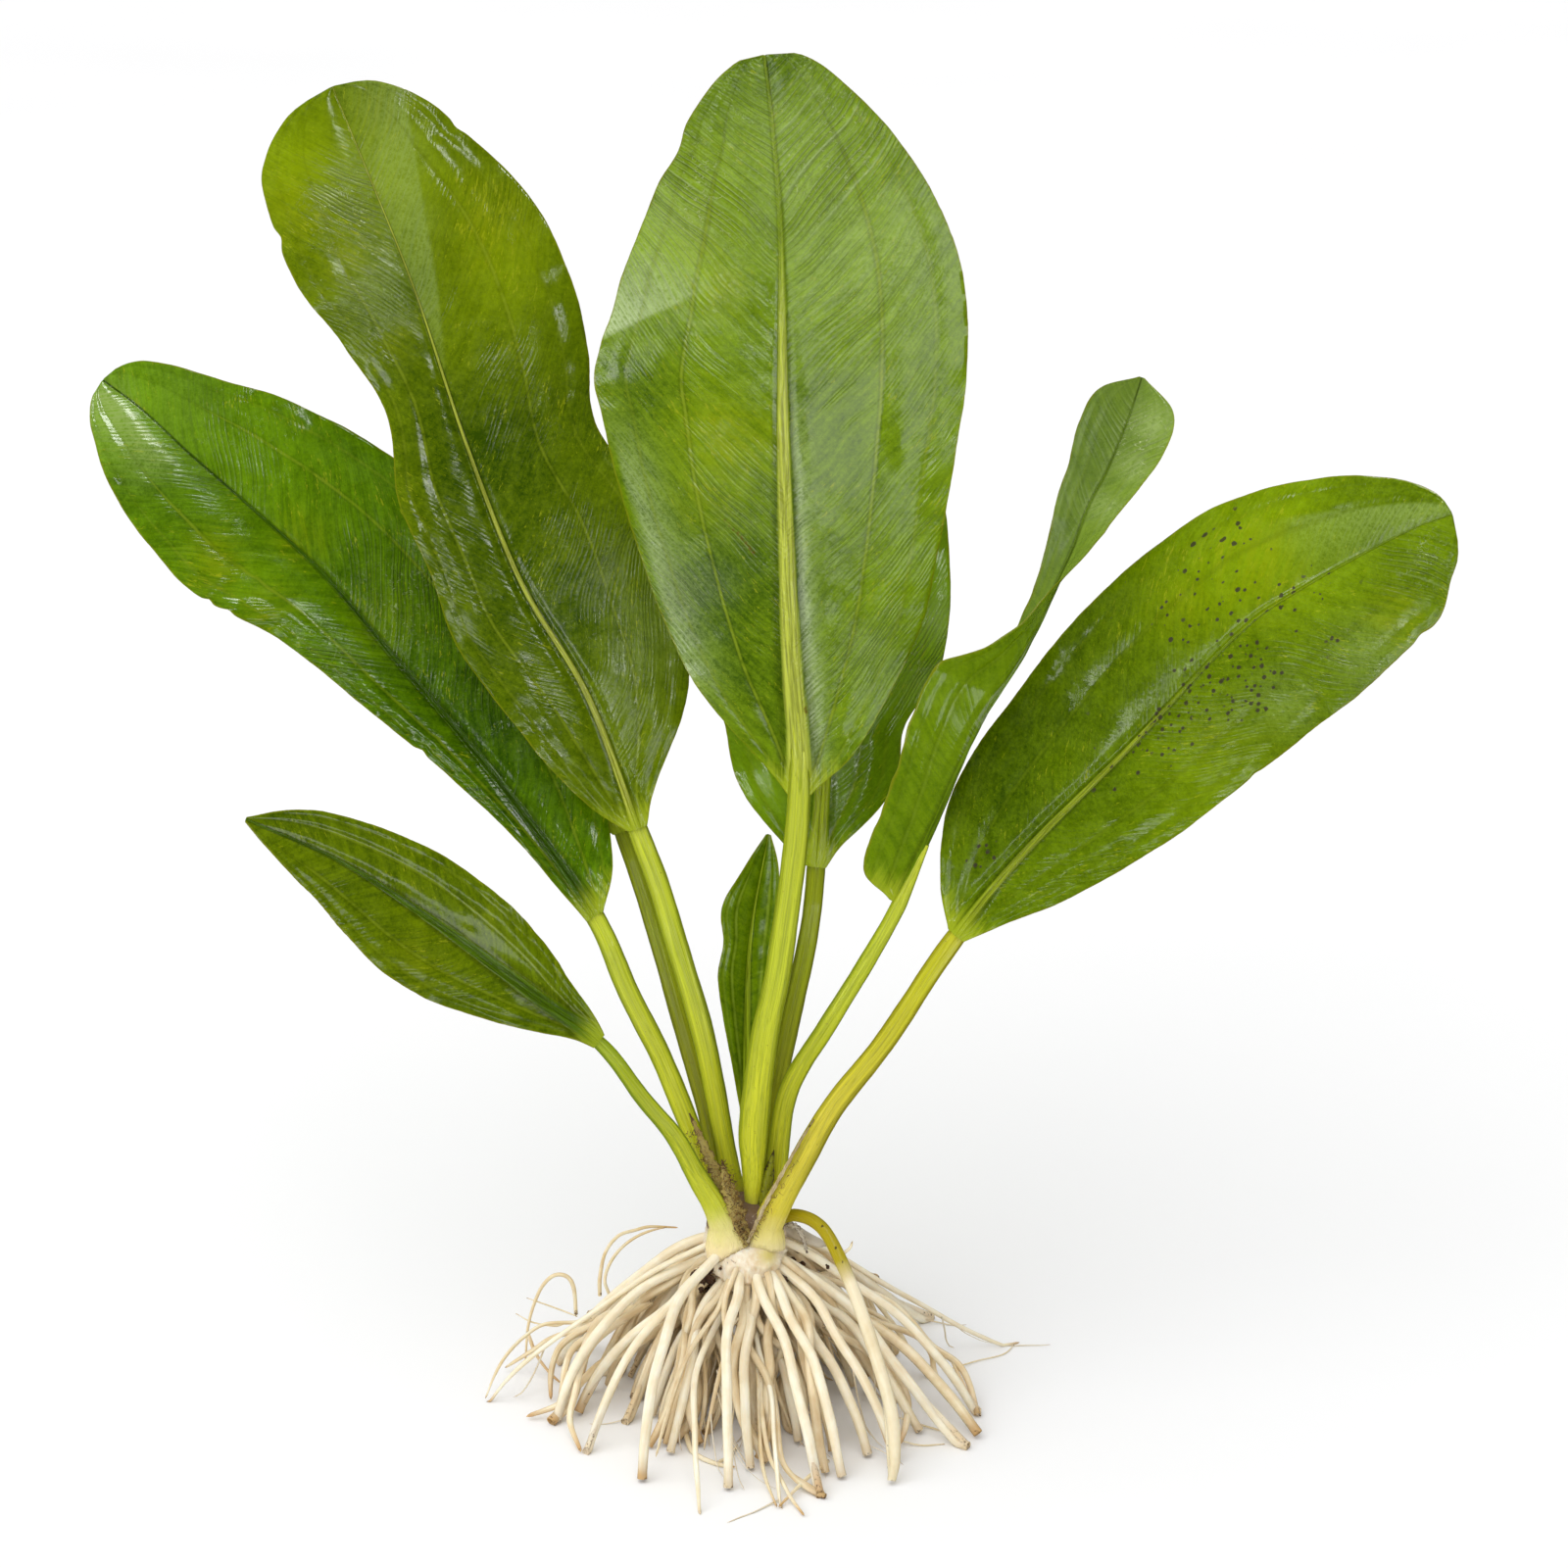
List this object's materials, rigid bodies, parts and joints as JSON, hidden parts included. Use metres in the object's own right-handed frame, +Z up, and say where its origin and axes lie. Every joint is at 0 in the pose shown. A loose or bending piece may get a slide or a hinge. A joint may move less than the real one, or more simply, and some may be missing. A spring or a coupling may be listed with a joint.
{
  "type": "amazon sword plant",
  "caption": "Bare-rooted amazon sword aquarium plant: broad ribbed leaves on long stalks, one of them twisted, over a cream crown and a skirt of splayed roots.",
  "frame": {"origin": "on the floor under the crown, at the middle of the whole plant's outline", "axes": "+Z up, +X to the right and +Y away from the front, seen from the side that the tallest leaf faces"},
  "size_m": [0.2437, 0.1013, 0.2625],
  "materials": {
    "leaf": "satin",
    "stalk": "satin",
    "crown": "satin",
    "root": "satin",
    "shoot": "satin",
    "scrap": "matte"
  },
  "bodies": {
    "root": {"crown": "crown", "stalk_front": "stalk", "stalk_upper_left": "stalk", "stalk_back_left": "stalk", "stalk_left": "stalk", "stalk_lower_left": "stalk", "stalk_back": "stalk", "stalk_young": "stalk", "stalk_twisted": "stalk", "stalk_right": "stalk", "blade_front": "leaf", "blade_upper_left": "leaf", "blade_back_left": "leaf", "blade_left": "leaf", "blade_lower_left": "leaf", "blade_back": "leaf", "blade_young": "leaf", "blade_twisted": "leaf", "blade_right": "leaf", "sheath_scrap_left": "scrap", "sheath_scrap_right": "scrap", "root_front_left_cut": "root", "root_front_long_thin": "root", "root_front_cut": "root", "root_front_inner": "root", "root_front_sweeping": "root", "root_front_thin": "root", "root_front_right": "root", "root_front_right_inner": "root", "root_right_front": "root", "root_right_low": "root", "root_right_low_inner": "root", "root_right": "root", "root_right_long_thin": "root", "root_right_inner": "root", "root_back_right": "root", "root_back_right_inner": "root", "root_back_right_far": "root", "root_back": "root", "root_back_inner": "root", "root_back_far": "root", "root_back_left": "root", "root_back_left_inner": "root", "root_back_left_far": "root", "root_left_thick": "root", "root_left_long_thin": "root", "root_left": "root", "root_left_inner": "root", "root_left_front": "root", "root_left_low": "root", "root_left_under": "root", "root_front_left_inner": "root", "root_under_front": "root", "root_under_back": "root", "root_under_left": "root", "root_under_right": "root", "root_loop_left": "root", "root_loop_high": "root", "old_shoot": "shoot", "withered_root": "scrap"}
  },
  "joints": []
}
